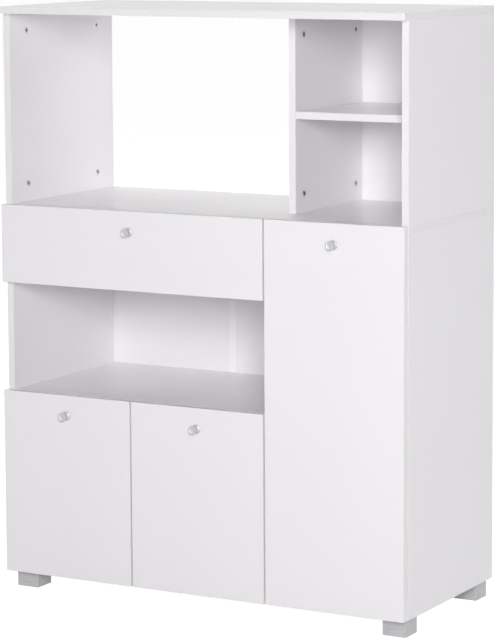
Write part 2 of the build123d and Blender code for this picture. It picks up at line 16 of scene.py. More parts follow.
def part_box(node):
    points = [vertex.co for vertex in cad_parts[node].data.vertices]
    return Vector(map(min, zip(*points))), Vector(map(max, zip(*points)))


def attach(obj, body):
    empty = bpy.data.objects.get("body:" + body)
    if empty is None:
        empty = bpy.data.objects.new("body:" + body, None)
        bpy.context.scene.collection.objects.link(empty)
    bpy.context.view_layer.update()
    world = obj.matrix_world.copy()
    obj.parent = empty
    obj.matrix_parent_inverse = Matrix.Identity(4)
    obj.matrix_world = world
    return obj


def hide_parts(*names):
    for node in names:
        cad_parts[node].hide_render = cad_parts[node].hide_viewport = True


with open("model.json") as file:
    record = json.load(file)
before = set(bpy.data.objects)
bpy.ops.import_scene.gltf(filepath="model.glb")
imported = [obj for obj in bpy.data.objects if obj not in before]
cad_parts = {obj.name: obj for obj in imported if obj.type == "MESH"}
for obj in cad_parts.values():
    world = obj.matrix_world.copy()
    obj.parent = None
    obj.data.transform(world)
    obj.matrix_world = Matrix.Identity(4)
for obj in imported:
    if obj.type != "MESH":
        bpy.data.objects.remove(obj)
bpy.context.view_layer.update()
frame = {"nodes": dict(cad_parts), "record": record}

# %% [markdown]
# ## The camera
# The photograph is a tall frame of 494 by 640 pixels, seen from the front right and
# from a little above the top. The lens is long, and the frame is shifted a little, which
# keeps the uprights nearly upright. More shift would bring them closer to the
# photograph by a pixel, but it would push the cabinet out of every other view. The
# numbers come from lining up the cabinet's corners: YAW turns the camera to the left,
# PITCH tips it down and ROLL leans it, all in radians. They are built into a matrix
# from three directions, which leaves no doubt about their order.

# %% Place the camera
FRAME_HEIGHT = 640
FOCAL_PIXELS = 2774.71
OPTICAL_CENTRE_PIXEL = 250
YAW, PITCH, ROLL = 0.5104, 0.1242, 0.0053
EYE = Vector((2.9874, -5.3219, 1.5377))

forward = Vector((
    -math.sin(YAW) * math.cos(PITCH), math.cos(YAW) * math.cos(PITCH), -math.sin(PITCH),
))
right = Vector((math.cos(YAW), math.sin(YAW), 0))
down = forward.cross(right)
right, down = (
    math.cos(ROLL) * right + math.sin(ROLL) * down,
    math.cos(ROLL) * down - math.sin(ROLL) * right,
)

lens = bpy.data.cameras.new("photo_camera")
lens.sensor_width = 36
lens.lens = FOCAL_PIXELS * lens.sensor_width / FRAME_HEIGHT
lens.shift_y = (OPTICAL_CENTRE_PIXEL - FRAME_HEIGHT / 2) / FRAME_HEIGHT
camera = bpy.data.objects.new("photo_camera", lens)
camera.matrix_world = Matrix((right, -down, -forward)).transposed().to_4x4()
camera.location = EYE
bpy.context.scene.collection.objects.link(camera)
bpy.context.scene.camera = camera
bpy.context.scene.view_settings.view_transform = "Standard"
print("lens", round(lens.lens, 1), "mm, shift", round(lens.shift_y, 3))

# %% [markdown]
# ## Helpers for materials
# Colours are written as the sRGB hex values that a paint chart gives, but shaders
# work in linear light, so one function turns one into the other. Another adds a node,
# sets its options and its input values, and wires its result onwards in one call,
# which keeps each recipe readable. A third starts a material with its one shader.

# %% Colour and node helpers
MM = 0.001


def linear(hex_colour):
    """Turn an sRGB hex colour into the linear colour that shaders use."""
    channels = [int(hex_colour[i:i + 2], 16) / 255 for i in (1, 3, 5)]
    bright = [c / 12.92 if c <= 0.04045 else ((c + 0.055) / 1.055) ** 2.4 for c in channels]
    return (*bright, 1.0)


def add(tree, kind, sockets=None, into=(), **options):
    """Add a node, set its options and inputs, and link its first visible output onwards."""
    node = tree.nodes.new(kind)
    for name, value in options.items():
        setattr(node, name, value)
    for name, value in (sockets or {}).items():
        if isinstance(value, bpy.types.NodeSocket):
            tree.links.new(value, node.inputs[name])
        else:
            node.inputs[name].default_value = value
    result = next((socket for socket in node.outputs if socket.enabled), None)
    for socket in into:
        tree.links.new(result, socket)
    return node, result


def start_material(name, sockets):
    """Start a material with one Principled shader, and the place where its patterns lie."""
    material = bpy.data.materials.new(name)
    material.use_nodes = True
    tree = material.node_tree
    tree.nodes.clear()
    shader, surface = add(tree, "ShaderNodeBsdfPrincipled", sockets)
    add(tree, "ShaderNodeOutputMaterial", {"Surface": surface})
    place = add(tree, "ShaderNodeTexCoord")[0].outputs["Object"]
    return material, tree, shader.inputs, place


# A noise mostly stays between these two values, so patterns are stretched from them
NOISE_LOW, NOISE_HIGH = 0.3, 0.7
print("helpers ready, white is", [round(c, 3) for c in linear("#ffffff")])

# %% [markdown]
# ## White melamine board
# The cabinet is melamine-faced particle board. The face is a resin-soaked paper,
# pressed against a finely pebbled steel plate, so it is an even, slightly cool white
# with a soft sheen and no grain. The pebbles are about 1 mm wide and a hundredth deep,
# drawn 2 mm wide so that they show at all. A slow noise lets the sheen drift a
# little, as on a surface that was wiped by hand.

# %% Melamine faces
def melamine_board():
    """White pressed melamine: semi-gloss, finely pebbled, even in colour."""
    material, tree, shader, place = start_material("melamine_board_white", {"IOR": 1.5})
    drift = add(tree, "ShaderNodeTexNoise", {"Vector": place, "Scale": 1 / (260 * MM)})[1]
    add(tree, "ShaderNodeMix", {
        "Factor": drift, "A": linear("#f4f1f4"), "B": linear("#f6f4f6"),
    }, [shader["Base Color"]], data_type="RGBA")
    wiped = add(tree, "ShaderNodeTexNoise", {
        "Vector": place, "Scale": 1 / (150 * MM), "Detail": 1,
    })[1]
    add(tree, "ShaderNodeMapRange", {
        "Value": wiped, "From Min": NOISE_LOW, "From Max": NOISE_HIGH,
        "To Min": 0.22, "To Max": 0.25,
    }, [shader["Roughness"]])
    pebbles = add(tree, "ShaderNodeTexNoise", {
        "Vector": place, "Scale": 1 / (2 * MM), "Detail": 1,
    })[1]
    add(tree, "ShaderNodeBump", {
        "Height": pebbles, "Distance": 0.012 * MM, "Strength": 0.5,
    }, [shader["Normal"]])
    return material


MELAMINE = melamine_board()
print("made", MELAMINE.name)

# %% [markdown]
# ## ABS edging
# The narrow sides of every board are covered with a strip of ABS, extruded smooth,
# glued on hot and scraped flush. It has the faces' colour but no pebbles, only long
# shallow waves of about 30 mm where the glue lies thicker, and it is a little less
# glossy, since the scraper dulls it.

# %% Edging
def abs_edging():
    """White ABS edge strip: smooth, with long shallow waves."""
    material, tree, shader, place = start_material("abs_edging_white", {
        "Base Color": linear("#f2eff2"), "IOR": 1.52,
    })
    waves = add(tree, "ShaderNodeTexNoise", {
        "Vector": place, "Scale": 1 / (30 * MM), "Detail": 0,
    })[1]
    add(tree, "ShaderNodeMapRange", {
        "Value": waves, "From Min": NOISE_LOW, "From Max": NOISE_HIGH,
        "To Min": 0.32, "To Max": 0.35,
    }, [shader["Roughness"]])
    add(tree, "ShaderNodeBump", {
        "Height": waves, "Distance": 0.03 * MM, "Strength": 0.5,
    }, [shader["Normal"]])
    return material


EDGING = abs_edging()
print("made", EDGING.name)

# %% [markdown]
# ## Painted fibreboard
# The backs and the drawer's bottom are 3 mm fibreboard with a rolled coat of white
# paint: duller than the melamine, with the orange peel that a paint roller leaves,
# about 3 mm from bump to bump, and a slightly cloudy cover.

# %% Back sheets
def painted_fibreboard():
    """Fibreboard with a rolled coat of white paint."""
    material, tree, shader, place = start_material("fibreboard_painted_white", {"IOR": 1.5})
    cloudy = add(tree, "ShaderNodeTexNoise", {
        "Vector": place, "Scale": 1 / (180 * MM), "Detail": 3,
    })[1]
    add(tree, "ShaderNodeMix", {
        "Factor": cloudy, "A": linear("#f5f3f5"), "B": linear("#f8f6f8"),
    }, [shader["Base Color"]], data_type="RGBA")
    peel = add(tree, "ShaderNodeTexNoise", {"Vector": place, "Scale": 1 / (3 * MM)})[1]
    add(tree, "ShaderNodeMapRange", {
        "Value": peel, "From Min": NOISE_LOW, "From Max": NOISE_HIGH,
        "To Min": 0.42, "To Max": 0.50,
    }, [shader["Roughness"]])
    add(tree, "ShaderNodeBump", {
        "Height": peel, "Distance": 0.05 * MM, "Strength": 0.5,
    }, [shader["Normal"]])
    return material


FIBREBOARD = painted_fibreboard()
print("made", FIBREBOARD.name)

# %% [markdown]
# ## PVC strip
# The strip that joins the two back sheets is extruded white PVC. The die leaves fine
# lines along its length, which a noise gives when it is squeezed across the strip and
# stretched upwards.

# %% Back strip
def extruded_pvc():
    """White PVC profile with faint lines along its length."""
    material, tree, shader, place = start_material("pvc_extruded_white", {
        "Base Color": linear("#fdfcfd"), "IOR": 1.53, "Roughness": 0.3,
    })
    drawn = add(tree, "ShaderNodeMapping", {"Vector": place, "Scale": (1, 1, 0.02)})[1]
    lines = add(tree, "ShaderNodeTexNoise", {"Vector": drawn, "Scale": 1 / (1.5 * MM)})[1]
    add(tree, "ShaderNodeBump", {
        "Height": lines, "Distance": 0.03 * MM, "Strength": 0.5,
    }, [shader["Normal"]])
    return material


PVC = extruded_pvc()
print("made", PVC.name)

# %% [markdown]
# ## Plated and cast fittings
# The hinges are nickel plated steel, the screws, bolts, pins and nails zinc plated
# steel, and the cams die-cast zinc. Down in the cams' recesses the zinc is rougher and
# painted dark grey, which is painted shade. A metal has no colour under its shine, so
# its tint is the tint of its reflections. The plating's grain shows as small blotches
# that reflect more and less sharply.

# %% Fitting metals
def fitting_metal(name, tint, roughness, blotch):
    """A plated or cast metal whose sharpness drifts over blotches of a given size."""
    drift = 0.06
    material, tree, shader, place = start_material(name, {
        "Base Color": linear(tint), "Metallic": 1.0,
    })
    grain = add(tree, "ShaderNodeTexNoise", {
        "Vector": place, "Scale": 1 / blotch, "Detail": 4,
    })[1]
    add(tree, "ShaderNodeMapRange", {
        "Value": grain, "From Min": NOISE_LOW, "From Max": NOISE_HIGH,
        "To Min": roughness - drift, "To Max": roughness + drift,
    }, [shader["Roughness"]])
    add(tree, "ShaderNodeBump", {
        "Height": grain, "Distance": 0.02 * MM, "Strength": 0.4,
    }, [shader["Normal"]])
    return material


NICKEL = fitting_metal("steel_nickel_plated", "#c9c6c0", 0.28, 6 * MM)
ZINC = fitting_metal("steel_zinc_plated", "#b9bbbf", 0.36, 3 * MM)
DIE_CAST = fitting_metal("zinc_die_cast", "#d2d3d5", 0.5, 2 * MM)
# Painted shade: this dark grey zinc goes on the faces down in the cams' recesses, standing for the
# shade in them
CAST_RECESS_PAINTED_SHADE = fitting_metal("zinc_die_cast_recess_painted_shade", "#48484a", 0.6, 2 * MM)
print("made", NICKEL.name, ZINC.name, DIE_CAST.name, CAST_RECESS_PAINTED_SHADE.name)

# %% [markdown]
# ## Turned aluminium
# The knobs are satin aluminium. The lathe tool leaves rings round the knob's axis, in
# truth about 0.1 mm apart and here 0.5 mm, so that they show. The rings follow the
# distance from the axis, which each knob keeps in its own mesh attribute.

# %% Knob aluminium
def turned_aluminium():
    """Satin aluminium with rings from the lathe."""
    material, tree, shader, _ = start_material("aluminium_turned_satin", {
        "Base Color": linear("#bab9bc"), "Metallic": 1.0, "Roughness": 0.6,
    })
    from_axis = add(tree, "ShaderNodeAttribute", attribute_name="turning")[0].outputs["Fac"]
    phase = add(tree, "ShaderNodeMath", {
        0: from_axis, 1: 2 * math.pi / (0.5 * MM),
    }, operation="MULTIPLY")[1]
    rings = add(tree, "ShaderNodeMath", {0: phase}, operation="SINE")[1]
    add(tree, "ShaderNodeBump", {
        "Height": rings, "Distance": 0.01 * MM, "Strength": 0.5,
    }, [shader["Normal"]])
    return material


ALUMINIUM = turned_aluminium()
print("made", ALUMINIUM.name)

# %% [markdown]
# ## Brushed silver feet
# The feet are moulded ABS under a brushed silver foil. The streaks of the brushing are
# less than a millimetre wide, some lighter and some duller, and the clear lacquer over
# the foil keeps it from shining like bare metal. They run level on the front and
# upright on the sides, so the finish is made twice, with the noise stretched along
# each direction.

# %% Foot foil
def brushed_silver_foil(name, stretch):
    """Brushed silver foil on ABS, its streaks long where the stretch is small."""
    material, tree, shader, place = start_material(name, {"Metallic": 0.15})
    brushed = add(tree, "ShaderNodeMapping", {"Vector": place, "Scale": stretch})[1]
    streaks = add(tree, "ShaderNodeTexNoise", {
        "Vector": brushed, "Scale": 1 / (0.9 * MM), "Detail": 3,
    })[1]
    add(tree, "ShaderNodeMix", {
        "Factor": streaks, "A": linear("#a09fa2"), "B": linear("#d9d8db"),
    }, [shader["Base Color"]], data_type="RGBA")
    add(tree, "ShaderNodeMapRange", {
        "Value": streaks, "From Min": NOISE_LOW, "From Max": NOISE_HIGH,
        "To Min": 0.38, "To Max": 0.5,
    }, [shader["Roughness"]])
    add(tree, "ShaderNodeBump", {
        "Height": streaks, "Distance": 0.04 * MM, "Strength": 0.5,
    }, [shader["Normal"]])
    return material


# A streak is one part wide and this many parts long
STREAK_LENGTH = 25
FOIL_LEVEL = brushed_silver_foil(
    "abs_brushed_silver_foil_level", (1 / STREAK_LENGTH, 1 / STREAK_LENGTH, 1),
)
FOIL_UPRIGHT = brushed_silver_foil(
    "abs_brushed_silver_foil_upright", (1, 1, 1 / STREAK_LENGTH),
)
print("made", FOIL_LEVEL.name, "and", FOIL_UPRIGHT.name)

# %% [markdown]
# ## Runners, rollers and dowels
# The drawer's runners have a white powder coat, baked on as a slightly gritty skin.
# The rollers are natural nylon, milky because light passes a little under the skin.
# The dowels are beech, with short darker flecks.

# %% Powder coat
def powder_coat():
    """White powder coat on sheet steel, with a fine grit."""
    material, tree, shader, place = start_material("steel_powder_coated_white", {
        "Base Color": linear("#e8e8e6"), "IOR": 1.5,
    })
    grit = add(tree, "ShaderNodeTexNoise", {"Vector": place, "Scale": 1 / (0.8 * MM)})[1]
    add(tree, "ShaderNodeMapRange", {
        "Value": grit, "From Min": NOISE_LOW, "From Max": NOISE_HIGH,
        "To Min": 0.36, "To Max": 0.46,
    }, [shader["Roughness"]])
    add(tree, "ShaderNodeBump", {
        "Height": grit, "Distance": 0.03 * MM, "Strength": 0.6,
    }, [shader["Normal"]])
    return material


POWDER_COAT = powder_coat()
print("made", POWDER_COAT.name)

# %% Nylon and beech
def natural_nylon():
    """Milky moulded nylon."""
    material, tree, shader, place = start_material("nylon_natural", {
        "Base Color": linear("#e6e3da"), "IOR": 1.53, "Subsurface Weight": 0.15,
        "Subsurface Radius": (2 * MM, 1.6 * MM, 1.2 * MM),
    })
    skin = add(tree, "ShaderNodeTexNoise", {"Vector": place, "Scale": 1 / (1.2 * MM)})[1]
    add(tree, "ShaderNodeMapRange", {
        "Value": skin, "From Min": NOISE_LOW, "From Max": NOISE_HIGH,
        "To Min": 0.36, "To Max": 0.48,
    }, [shader["Roughness"]])
    return material


def plain_beech():
    """Beech dowel rod with short flecks."""
    material, tree, shader, place = start_material("beech_plain", {"IOR": 1.5, "Roughness": 0.6})
    flecks = add(tree, "ShaderNodeTexNoise", {
        "Vector": place, "Scale": 1 / (1.5 * MM), "Detail": 3,
    })[1]
    add(tree, "ShaderNodeMix", {
        "Factor": flecks, "A": linear("#b98f62"), "B": linear("#d3b084"),
    }, [shader["Base Color"]], data_type="RGBA")
    add(tree, "ShaderNodeBump", {
        "Height": flecks, "Distance": 0.05 * MM, "Strength": 0.5,
    }, [shader["Normal"]])
    return material


NYLON = natural_nylon()
BEECH = plain_beech()
print("made", NYLON.name, "and", BEECH.name)

# %% [markdown]
# ## Finishing the solids that stay
# Sheets, hinges, runners, bolts, pins, nails and dowels already have their true shapes,
# so their solids stay and only get a material. Each node of the record names a
# material slot, and one table says which finish that slot has.

# %% Dress every solid
finishes = {
    "cabinet_board": MELAMINE,
    "back_sheet": FIBREBOARD,
    "back_strip": PVC,
    "foot": FOIL_LEVEL,
    "hinge_steel": NICKEL,
    "runner_steel": POWDER_COAT,
    "screw_steel": ZINC,
    "cam_metal": DIE_CAST,
    "dowel_wood": BEECH,
    "knob": ALUMINIUM,
    "roller": NYLON,
}
slot_of = {part["node"]: part["material_slot"] for part in frame["record"]["subparts"]}
body_of_node = {
    node: body
    for body, members in frame["record"]["behaviour"]["bodies"].items()
    for node in members
}
for node, solid in frame["nodes"].items():
    solid.data.materials.clear()
    solid.data.materials.append(finishes[slot_of[node]])
print("dressed", len(slot_of), "solids in", len(finishes), "finishes")

# %% [markdown]
# ## Helpers for pieces
# A new piece is modelled in a bmesh, written to an object at the origin, and told which
# body it rides on and which solid it stands for. Repeated fittings share one solid, so
# another helper splits a solid into its loose parts and tells where each one lies. The
# copy is welded first, because its triangles come loose from each other.

# %% Piece helpers
# Points closer than this are welded
WELD = 0.001 * MM


def finish_piece(bm, name, node, materials, sharp=50):
    """Write a bmesh to a piece that stands for a node, smooth below an angle in degrees."""
    mesh = bpy.data.meshes.new(name)
    bm.to_mesh(mesh)
    bm.free()
    for material in materials:
        mesh.materials.append(material)
    for polygon in mesh.polygons:
        polygon.use_smooth = True
    mesh.set_sharp_from_angle(angle=math.radians(sharp))
    piece = bpy.data.objects.new(name, mesh)
    bpy.context.scene.collection.objects.link(piece)
    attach(piece, body_of_node[node])
    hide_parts(node)
    return piece


def loose_parts(node):
    """Give the corner points of each loose part of a solid."""
    bm = bmesh.new()
    bm.from_mesh(frame["nodes"][node].data)
    bmesh.ops.remove_doubles(bm, verts=bm.verts, dist=WELD)
    unseen = set(bm.verts)
    parts = []
    while unseen:
        reached = [unseen.pop()]
        for vert in reached:
            for edge in vert.link_edges:
                other = edge.other_vert(vert)
                if other in unseen:
                    unseen.remove(other)
                    reached.append(other)
        parts.append([vert.co.copy() for vert in reached])
    bm.free()
    return parts


def corners(points):
    """Lowest and highest corner of some points."""
    low = Vector([min(p[i] for p in points) for i in range(3)])
    high = Vector([max(p[i] for p in points) for i in range(3)])
    return low, high


def cut_away(bm, cutter):
    """Cut one bmesh out of another and give back the result as a new bmesh."""
    meshes = []
    for name, shape in (("blank", bm), ("cutter", cutter)):
        mesh = bpy.data.meshes.new(name)
        shape.to_mesh(mesh)
        shape.free()
        meshes.append(mesh)
    blank, tool = (bpy.data.objects.new(mesh.name, mesh) for mesh in meshes)
    for thing in (blank, tool):
        bpy.context.scene.collection.objects.link(thing)
    cut = blank.modifiers.new("cut", "BOOLEAN")
    cut.object = tool
    cut.solver = "EXACT"
    bpy.context.view_layer.update()
    depsgraph = bpy.context.evaluated_depsgraph_get()
    result = bmesh.new()
    result.from_object(blank, depsgraph)
    for thing in (blank, tool):
        bpy.data.objects.remove(thing)
    for mesh in meshes:
        bpy.data.meshes.remove(mesh)
    return result


print("cams:", len(loose_parts("cam_locks")), "screws:", len(loose_parts("carcass_screws")))

# %% [markdown]
# ## Boards
# Sawn boards have crisp edges with a hand-friendly arris of about half a millimetre,
# and that small bevel is what catches the light along every front edge. Each board
# starts as a cube the size of its solid, its edges are bevelled, and the faces are
# inset by the edging's thickness, so the outer ring and the narrow sides are edging
# and the rest is melamine. Cylinders cut the holes for the cams and the hinge cups. A
# thin sheet sits in grooves of its boards with some play, which leaves the fine dark
# line in the corners, so each board is also cut with every sheet that enters it, made a
# little larger.

# %% Holes to cut
CAM_HOLE_RADIUS = 7.6 * MM
CUP_HOLE_RADIUS = 17.6 * MM

board_boxes = {
    node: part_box(node)
    for node, slot in slot_of.items() if slot == "cabinet_board"
}


def inside(point, box, slack=0.01 * MM):
    """Tell whether a point lies within a box."""
    return all(box[0][i] - slack < point[i] < box[1][i] + slack for i in range(3))


def hole_of(points, radius):
    """Find the hole that a round fitting sits in: where it starts and where it goes."""
    low, high = corners(points)
    middle = (low + high) / 2
    home = next(node for node, box in board_boxes.items() if inside(middle, box))
    axis = min(range(3), key=lambda i: high[i] - low[i])
    box = board_boxes[home]
    into = Vector((0, 0, 0))
    mouth = middle.copy()
    at_low = abs(low[axis] - box[0][axis]) < abs(high[axis] - box[1][axis])
    into[axis] = 1 if at_low else -1
    mouth[axis] = box[0][axis] if at_low else box[1][axis]
    depth = high[axis] - low[axis]
    return {"board": home, "mouth": mouth, "into": into, "radius": radius, "depth": depth}


cam_holes = [hole_of(points, CAM_HOLE_RADIUS) for points in loose_parts("cam_locks")]
cup_holes = [
    hole_of(points, CUP_HOLE_RADIUS)
    for door in ("left", "middle", "tall")
    for points in loose_parts("hinge_cups_" + door)
]
print("cam holes:", len(cam_holes), "cup holes:", len(cup_holes))

# %% Make the boards
ARRIS = 0.5 * MM
EDGING_THICKNESS = 0.8 * MM
GROOVE_PLAY = 0.8 * MM
HOLE_STEPS = 40
# A cutter starts this far outside the board
PAST = 1 * MM
# A face looks along an axis if its normal reaches this far along it
STRAIGHT = 0.99


def cube_between(low, high):
    """Start a bmesh with a cube that fills a box."""
    bm = bmesh.new()
    bmesh.ops.create_cube(bm, size=1)
    bmesh.ops.scale(bm, vec=high - low, verts=bm.verts)
    bmesh.ops.translate(bm, vec=(low + high) / 2, verts=bm.verts)
    return bm


def bevel_edges(bm, edges, width, segments=2):
    """Round some edges evenly."""
    bmesh.ops.bevel(
        bm, geom=edges, offset=width, offset_type="OFFSET", segments=segments,
        profile=0.5, affect="EDGES", clamp_overlap=True, material=-1,
    )


def hole_cutter(board_holes):
    """Make the cylinders that cut a board's holes."""
    bm = bmesh.new()
    for hole in board_holes:
        length = hole["depth"] + PAST
        turn = Vector((0, 0, 1)).rotation_difference(hole["into"]).to_matrix().to_4x4()
        start = hole["mouth"] - hole["into"] * PAST
        place = Matrix.Translation(start + hole["into"] * length / 2) @ turn
        bmesh.ops.create_cone(
            bm, cap_ends=True, segments=HOLE_STEPS, radius1=hole["radius"],
            radius2=hole["radius"], depth=length, matrix=place,
        )
    return bm


def entering(node):
    """Give the boxes of the thin sheets and strips that enter a board."""
    low, high = board_boxes[node]
    thin_nodes = [n for n, slot in slot_of.items() if slot in ("back_sheet", "back_strip")]
    boxes = [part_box(n) for n in thin_nodes]
    return [
        (a, b) for a, b in boxes
        if all(min(b[i], high[i]) - max(a[i], low[i]) > ARRIS for i in range(3))
    ]


def make_board(node):
    """Model one board: bevelled, edged, and cut for the fittings and sheets that sit in it."""
    low, high = board_boxes[node]
    thin = min(range(3), key=lambda i: high[i] - low[i])
    bm = cube_between(low, high)
    bevel_edges(bm, list(bm.edges), ARRIS)
    faces = [f for f in bm.faces if abs(f.normal[thin]) > STRAIGHT]
    for f in bm.faces:
        f.material_index = 0 if f in faces else 1
    ring = bmesh.ops.inset_individual(bm, faces=faces, thickness=EDGING_THICKNESS - ARRIS)
    for f in ring["faces"]:
        f.material_index = 1
    own = [hole for hole in cam_holes + cup_holes if hole["board"] == node]
    if own:
        bm = cut_away(bm, hole_cutter(own))
    play = Vector((GROOVE_PLAY, GROOVE_PLAY, GROOVE_PLAY))
    grooves = entering(node)
    for a, b in grooves:
        bm = cut_away(bm, cube_between(a - play, b + play))
    piece = finish_piece(bm, node + "_finished", node, [MELAMINE, EDGING])
    piece.modifiers.new("even_shading", "WEIGHTED_NORMAL").keep_sharp = True
    return len(own), len(grooves)


cut = {node: make_board(node) for node in board_boxes}
print("boards:", len(cut))
print("holes:", sum(holes for holes, grooves in cut.values()))
print("grooves:", {node: grooves for node, (holes, grooves) in cut.items() if grooves})

# %% [markdown]
# ## Knobs
# The knobs are turned from aluminium: a round foot, a slim waist and a shallow dished
# head. Spinning half of the profile round the knob's axis gives the same shape as the
# lathe does. Each point keeps its distance from the axis in an attribute, so that the
# tool's rings follow the turning whichever knob it is.

# %% Turn the knobs
# Half profile, as radius and height above the front, in millimetres
KNOB_PROFILE = [
    (0, 0), (10.5, 0), (10.5, 1.4), (10.1, 2.0), (8.0, 3.0), (6.2, 4.8), (5.5, 7.0),
    (5.5, 12.0), (6.2, 13.0), (9.6, 13.6), (10.0, 14.1), (10.0, 17.2), (9.7, 17.8),
    (9.2, 18.0), (7.2, 18.0), (6.6, 17.7), (6.0, 17.2), (3.0, 16.95), (0, 16.9),
]
TURNED_STEPS = 48
FRONTS = ("drawer", "left", "middle", "tall")


def turned(profile, centre, along, steps=TURNED_STEPS):
    """Spin a half profile, in millimetres, round an axis through a point."""
    bm = bmesh.new()
    side = along.orthogonal().normalized()
    line = [bm.verts.new(centre + side * (r * MM) + along * (h * MM)) for r, h in profile]
    edges = [bm.edges.new(pair) for pair in zip(line, line[1:])]
    bmesh.ops.spin(
        bm, geom=line + edges, cent=centre, axis=along, angle=2 * math.pi, steps=steps,
        use_merge=True, use_duplicate=False,
    )
    bmesh.ops.remove_doubles(bm, verts=bm.verts, dist=WELD)
    bmesh.ops.recalc_face_normals(bm, faces=bm.faces)
    return bm


def mark_turning(piece, centre, along):
    """Store each point's distance from the axis in the piece's own attribute."""
    distance = piece.data.attributes.new("turning", "FLOAT", "POINT")
    for vert, value in zip(piece.data.vertices, distance.data):
        offset = vert.co - centre
        value.value = (offset - along * offset.dot(along)).length


frontward = Vector((0, -1, 0))
for front in FRONTS:
    node = "knob_" + front
    low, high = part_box(node)
    seat = Vector(((low.x + high.x) / 2, high.y, (low.z + high.z) / 2))
    shape = turned(KNOB_PROFILE, seat, frontward)
    knob = finish_piece(shape, node + "_turned", node, [ALUMINIUM], sharp=40)
    mark_turning(knob, seat, frontward)
    print(knob.name, "at", [round(c, 3) for c in seat])

# %% [markdown]
# ## Feet
# Each foot is a moulded square block with slightly rounded corners. It is open at the
# bottom, where its walls stand on the floor. A cube is bevelled along its upright
# edges, and its bottom is inset by the wall's thickness and pushed up inside. A bevel
# modifier takes the sharpness off the edges that are left.

# %% Mould the feet
FOOT_WALL = 4 * MM
FOOT_CORNER = 1.5 * MM
FOOT_SOFT_EDGE = 0.35 * MM
# Both the feet and the rollers sit at these places
FOUR_PLACES = ("front_left", "front_right", "rear_left", "rear_right")
# A face counts as a side if its normal reaches this far to the left or right
SIDEWAYS = 0.7
for place in FOUR_PLACES:
    node = "foot_" + place
    low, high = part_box(node)
    bm = cube_between(low, high)
    upright = [e for e in bm.edges if abs(e.verts[0].co.z - e.verts[1].co.z) > FOOT_WALL]
    bevel_edges(bm, upright, FOOT_CORNER, segments=4)
    sole = [f for f in bm.faces if f.normal.z < -STRAIGHT]
    bmesh.ops.inset_region(bm, faces=sole, thickness=FOOT_WALL)
    hollow_depth = high.z - low.z - FOOT_WALL
    sole_points = [v for f in sole for v in f.verts]
    bmesh.ops.translate(bm, vec=(0, 0, hollow_depth), verts=sole_points)
    for f in bm.faces:
        f.material_index = 1 if abs(f.normal.x) > SIDEWAYS else 0
    foot = finish_piece(bm, node + "_moulded", node, [FOIL_LEVEL, FOIL_UPRIGHT], sharp=30)
    soften = foot.modifiers.new("moulded_edges", "BEVEL")
    soften.width = FOOT_SOFT_EDGE
    soften.segments = 2
    soften.limit_method = "ANGLE"
    soften.harden_normals = True
    print(foot.name, "faces", len(foot.data.polygons))

# %% [markdown]
# ## Cams
# A cam is a die-cast zinc disc that pulls the joint's bolt tight. It lies flush in the
# board, and its face has a deep cross recess for the screwdriver. A bite out of its rim
# lets the bolt's head in. Tightening turned the bite about a third of a turn clockwise,
# away from the bolt. One cam is made with these cut out, and copies of it are turned
# into every hole. The faces down in the recesses get a dark grey zinc as painted shade.

# %% Cast one cam
CAM_RADIUS = 7.45 * MM
CAM_DEPTH = 12.4 * MM
CAM_ARRIS = 0.4 * MM
CROSS_LENGTH = 8.6 * MM
CROSS_WIDTH = 2.2 * MM
CROSS_CENTRE_RADIUS = 2.2 * MM
BITE_RADIUS = 4.4 * MM
BITE_CENTRE = 9.4 * MM
RECESS_DEPTH = 8 * MM
# The cross and its centre reach down to these shares of that depth. No two cuts share a
# floor, because floors in one plane can spoil the next cut
CROSS_SHARE, CENTRE_SHARE = 0.9, 0.95
SECOND_BAR_DEEPER = 1.03
# A face whose middle lies beyond this share of the radius belongs to the cam's outer wall
WALL_SHARE = 0.97
CAM_STEPS, RECESS_STEPS = 32, 16


def disc(radius, depth, segments, middle):
    """Start a bmesh with an upright disc: its radius, full depth, and its middle."""
    bm = bmesh.new()
    bmesh.ops.create_cone(
        bm, cap_ends=True, segments=segments, radius1=radius, radius2=radius, depth=depth,
        matrix=Matrix.Translation(middle),
    )
    return bm


def cut_cross(bm, top, length, width, depth):
    """Cut a cross recess down from a height, bar by bar, the second a little deeper."""
    for turn, deeper in ((0, 1), (math.pi / 2, SECOND_BAR_DEEPER)):
        bar = bmesh.new()
        place = Matrix.Translation((0, 0, top)) @ Matrix.Rotation(turn, 4, "Z")
        size = Matrix.Diagonal((length, width, 2 * depth * deeper, 1))
        bmesh.ops.create_cube(bar, size=1, matrix=place @ size)
        bm = cut_away(bm, bar)
    return bm


def cast_cam():
    """Model one cam at the origin, with its face up and its bite along X."""
    bm = disc(CAM_RADIUS, CAM_DEPTH, CAM_STEPS, (0, 0, -CAM_DEPTH / 2))
    rim = [e for e in bm.edges if all(v.co.z > -CAM_ARRIS for v in e.verts)]
    bevel_edges(bm, rim, CAM_ARRIS)
    bm = cut_cross(bm, 0, CROSS_LENGTH, CROSS_WIDTH, RECESS_DEPTH * CROSS_SHARE)
    centre_depth = 2 * RECESS_DEPTH * CENTRE_SHARE
    centre = disc(CROSS_CENTRE_RADIUS, centre_depth, RECESS_STEPS, (0, 0, 0))
    bite = disc(BITE_RADIUS, 2 * RECESS_DEPTH, RECESS_STEPS, (BITE_CENTRE, 0, 0))
    bm = cut_away(cut_away(bm, centre), bite)
    # Painted shade: faces down in the recesses get the second material, a dark grey standing for
    # the shade there
    for f in bm.faces:
        middle = f.calc_center_median()
        in_shaded_recess = -RECESS_DEPTH - WELD < middle.z < -CAM_ARRIS
        on_wall = middle.xy.length >= CAM_RADIUS * WALL_SHARE
        f.material_index = 1 if in_shaded_recess and not on_wall else 0
    return bm


